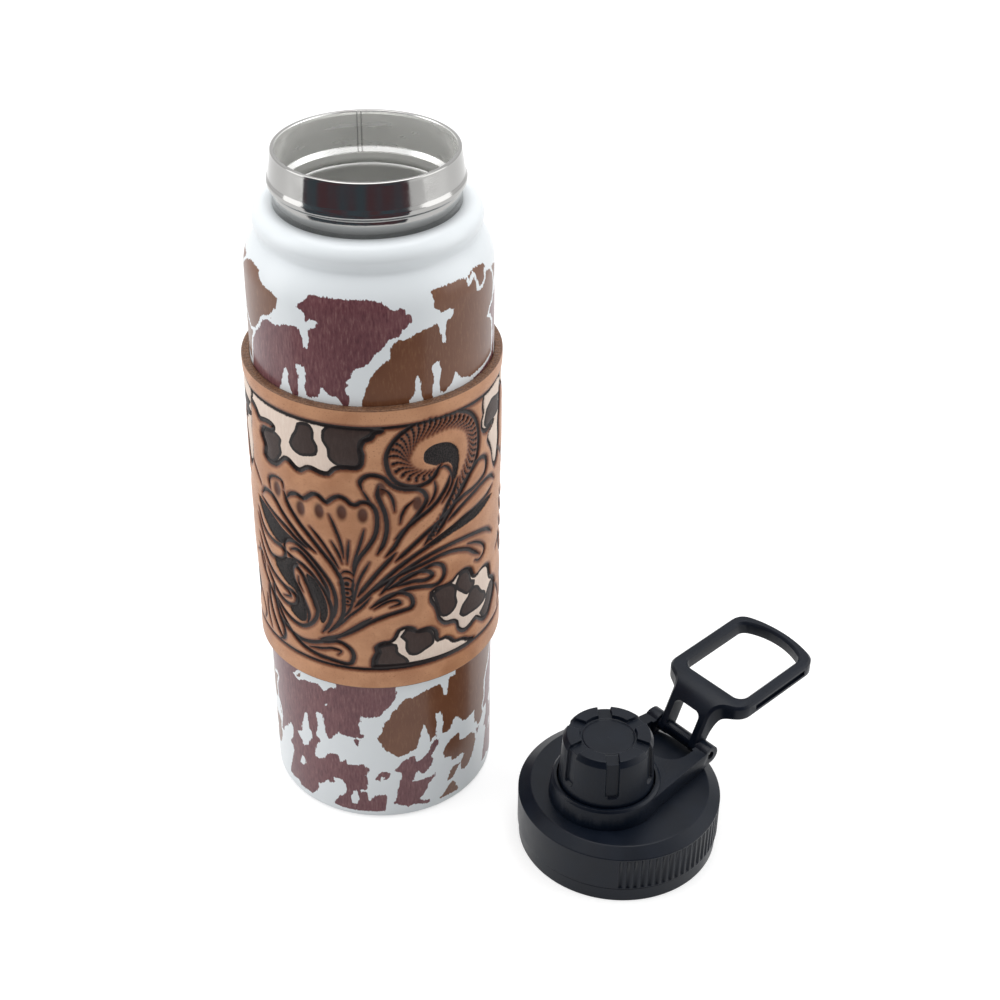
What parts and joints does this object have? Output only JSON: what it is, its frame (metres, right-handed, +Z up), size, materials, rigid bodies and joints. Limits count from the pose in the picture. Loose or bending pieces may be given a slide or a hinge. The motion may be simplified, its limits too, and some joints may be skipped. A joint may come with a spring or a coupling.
{
  "type": "wide-mouth insulated bottle",
  "caption": "Double-wall steel bottle in a tooled leather sleeve, its screw lid standing beside it with a spout knob and a folding carry loop.",
  "frame": {"origin": "centre of the bottle's foot, on the surface it stands on", "axes": "+Z up along the bottle's axis, out of the mouth; +X to the side where the lid stands; the sleeve's seam faces +Y"},
  "size_m": [0.183, 0.1192, 0.2233],
  "materials": {
    "painted_shell": "satin white with a printed cowhide pattern",
    "polished_steel": "polished bare stainless steel",
    "satin_steel": "satin bare stainless steel",
    "seal_bead": "dull sealing solder",
    "tooled_leather": "tooled and burnished tan leather",
    "lace": "waxed dark lace",
    "black_plastic": "fine matt moulded polypropylene",
    "liner_plastic": "smooth moulded polypropylene",
    "silicone": "soft silicone"
  },
  "bodies": {
    "bottle": {"outer_shell": "painted_shell", "neck_band": "polished_steel", "inner_vessel": "satin_steel", "base_plate": "satin_steel", "vacuum_plug": "seal_bead", "getter": "satin_steel", "leather_sleeve": "tooled_leather", "sleeve_lacing": "lace"},
    "lid": {"lid_shell": "black_plastic", "lid_liner": "liner_plastic", "lid_gasket": "silicone", "spout": "liner_plastic", "spout_washer": "silicone", "spout_nut": "liner_plastic", "loop_carrier": "black_plastic", "hinge_pin": "polished_steel"},
    "loop": {"carry_loop": "black_plastic"},
    "cap_core": {"knob_gasket": "silicone"},
    "cap": {"knob": "black_plastic", "knob_liner": "liner_plastic"}
  },
  "joints": [
    {"name": "lid_lift", "type": "slide", "parent": "bottle", "child": "lid", "axis": [0, 0, 1], "range_m": [0, 0.25]},
    {"name": "loop_swing", "type": "hinge", "parent": "lid", "child": "loop", "pos_m": [0.09836, -0.02885, 0.02474], "axis": [0.6018, -0.7986, 0], "range_deg": [-85, 92]},
    {"name": "cap_rise", "type": "slide", "parent": "lid", "child": "cap_core", "axis": [0, 0, 1], "range_m": [0, 0.0061]},
    {"name": "cap_turn", "type": "hinge", "parent": "cap_core", "child": "cap", "pos_m": [0.07041, -0.04991, 0.035], "axis": [0, 0, 1], "range_deg": [0, 540]}
  ],
  "couplings": [
    {"joint": "cap_rise", "follows": "cap_turn", "m_per_rad": 0.00063662}
  ]
}
